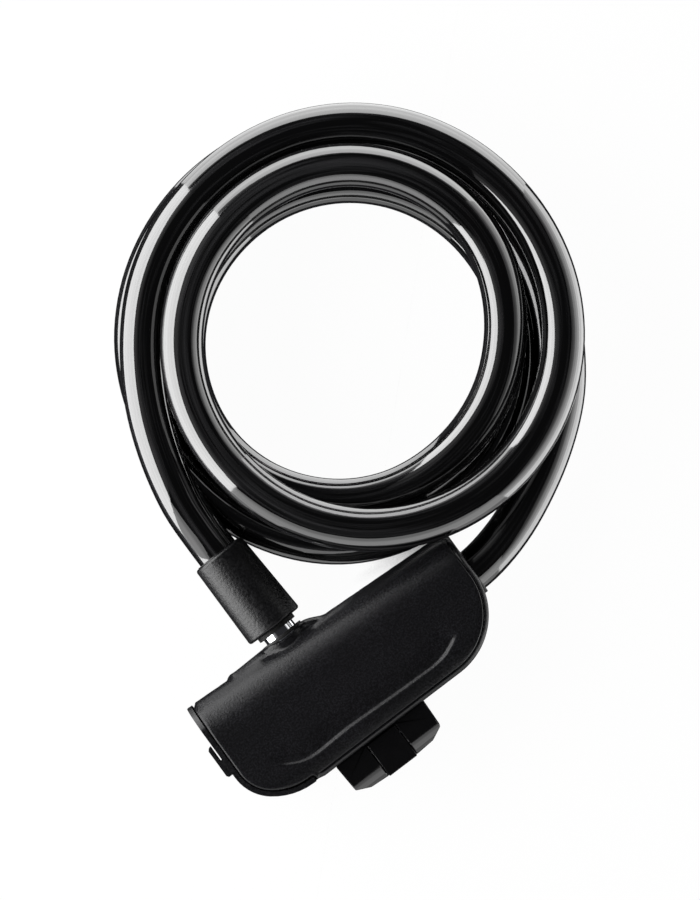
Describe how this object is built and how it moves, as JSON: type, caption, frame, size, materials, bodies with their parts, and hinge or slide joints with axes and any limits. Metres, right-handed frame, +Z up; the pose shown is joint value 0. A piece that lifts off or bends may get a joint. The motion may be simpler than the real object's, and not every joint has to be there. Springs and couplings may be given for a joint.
{
  "type": "cable lock",
  "caption": "Coiled cable lock: a flat black lock body with a keyed cylinder holds one end of a thick sheathed cable and takes the bolt on its other end.",
  "frame": {"origin": "on the rear face that the lock body rests on, below the middle of the body's length", "axes": "+X along the lock body to the end where the cable leaves it, +Y towards the bolt hole, +Z up out of the front face"},
  "size_m": [0.1616, 0.1666, 0.0313],
  "materials": {
    "shell_plastic": "fine grained black moulding",
    "cover_plastic": "smooth satin black moulding",
    "ferrule_plastic": "coarse grained black moulding",
    "foot_plastic": "polished black moulding",
    "cable_sheath": "glossy black extruded sheath",
    "black_rubber": "soft matt black",
    "chromed_steel": "mirror bright",
    "hardened_steel": "ground grey",
    "bright_steel": "drawn bright",
    "dark_screws": "blackened",
    "rope_steel": "galvanised strands",
    "zinc": "die-cast zinc, dull grey",
    "brass": "machined"
  },
  "bodies": {
    "cable_and_bolt": {"cable_coil": "cable_sheath", "rope_coil": "rope_steel", "cable_bolt_end": "cable_sheath", "rope_bolt_end": "rope_steel", "cable_body_end": "cable_sheath", "rope_body_end": "rope_steel", "lock_bolt": "chromed_steel", "bolt_collar": "foot_plastic", "rope_socket": "hardened_steel", "ferrule_shell": "ferrule_plastic", "ferrule_lip": "black_rubber"},
    "lock_body": {"front_shell": "shell_plastic", "rear_shell": "shell_plastic", "lock_core": "zinc", "drill_guard": "hardened_steel", "cylinder_barrel": "brass", "bolt_bush": "hardened_steel", "bolt_seal": "black_rubber", "crimp_sleeve": "hardened_steel", "anchor_pin": "bright_steel", "cable_grommet": "black_rubber", "shell_screws": "dark_screws", "mount_foot": "foot_plastic", "tongue_pin": "bright_steel", "tongue_spring": "bright_steel", "dust_cover_pin": "bright_steel"},
    "plug": {"cylinder_plug": "brass", "wafers": "brass", "tail_clip": "bright_steel", "cam_disc": "hardened_steel"},
    "cover": {"dust_cover": "cover_plastic"},
    "tongue": {"foot_tongue": "foot_plastic"}
  },
  "joints": [
    {"name": "bolt_pull", "type": "slide", "parent": "cable_and_bolt", "child": "lock_body", "axis": [0.0349, -0.9994, 0], "range_m": [0, 0.018], "deforming": ["cable_body_end", "rope_body_end"]},
    {"name": "cylinder_turn", "type": "hinge", "parent": "lock_body", "child": "plug", "pos_m": [-0.03, 0.005, 0.013], "axis": [-1, 0, 0], "range_deg": [0, 90]},
    {"name": "dust_cover_swing", "type": "hinge", "parent": "lock_body", "child": "cover", "pos_m": [-0.0236, -0.0164, 0.013], "axis": [0, 0, 1], "range_deg": [0, 85]},
    {"name": "foot_release", "type": "hinge", "parent": "lock_body", "child": "tongue", "pos_m": [-0.00375, -0.01994, 0.0198], "axis": [0.9998, 0.022, 0], "range_deg": [0, 8], "stiffness_Nm_per_rad": 0.05, "deforming": ["tongue_spring"]}
  ]
}
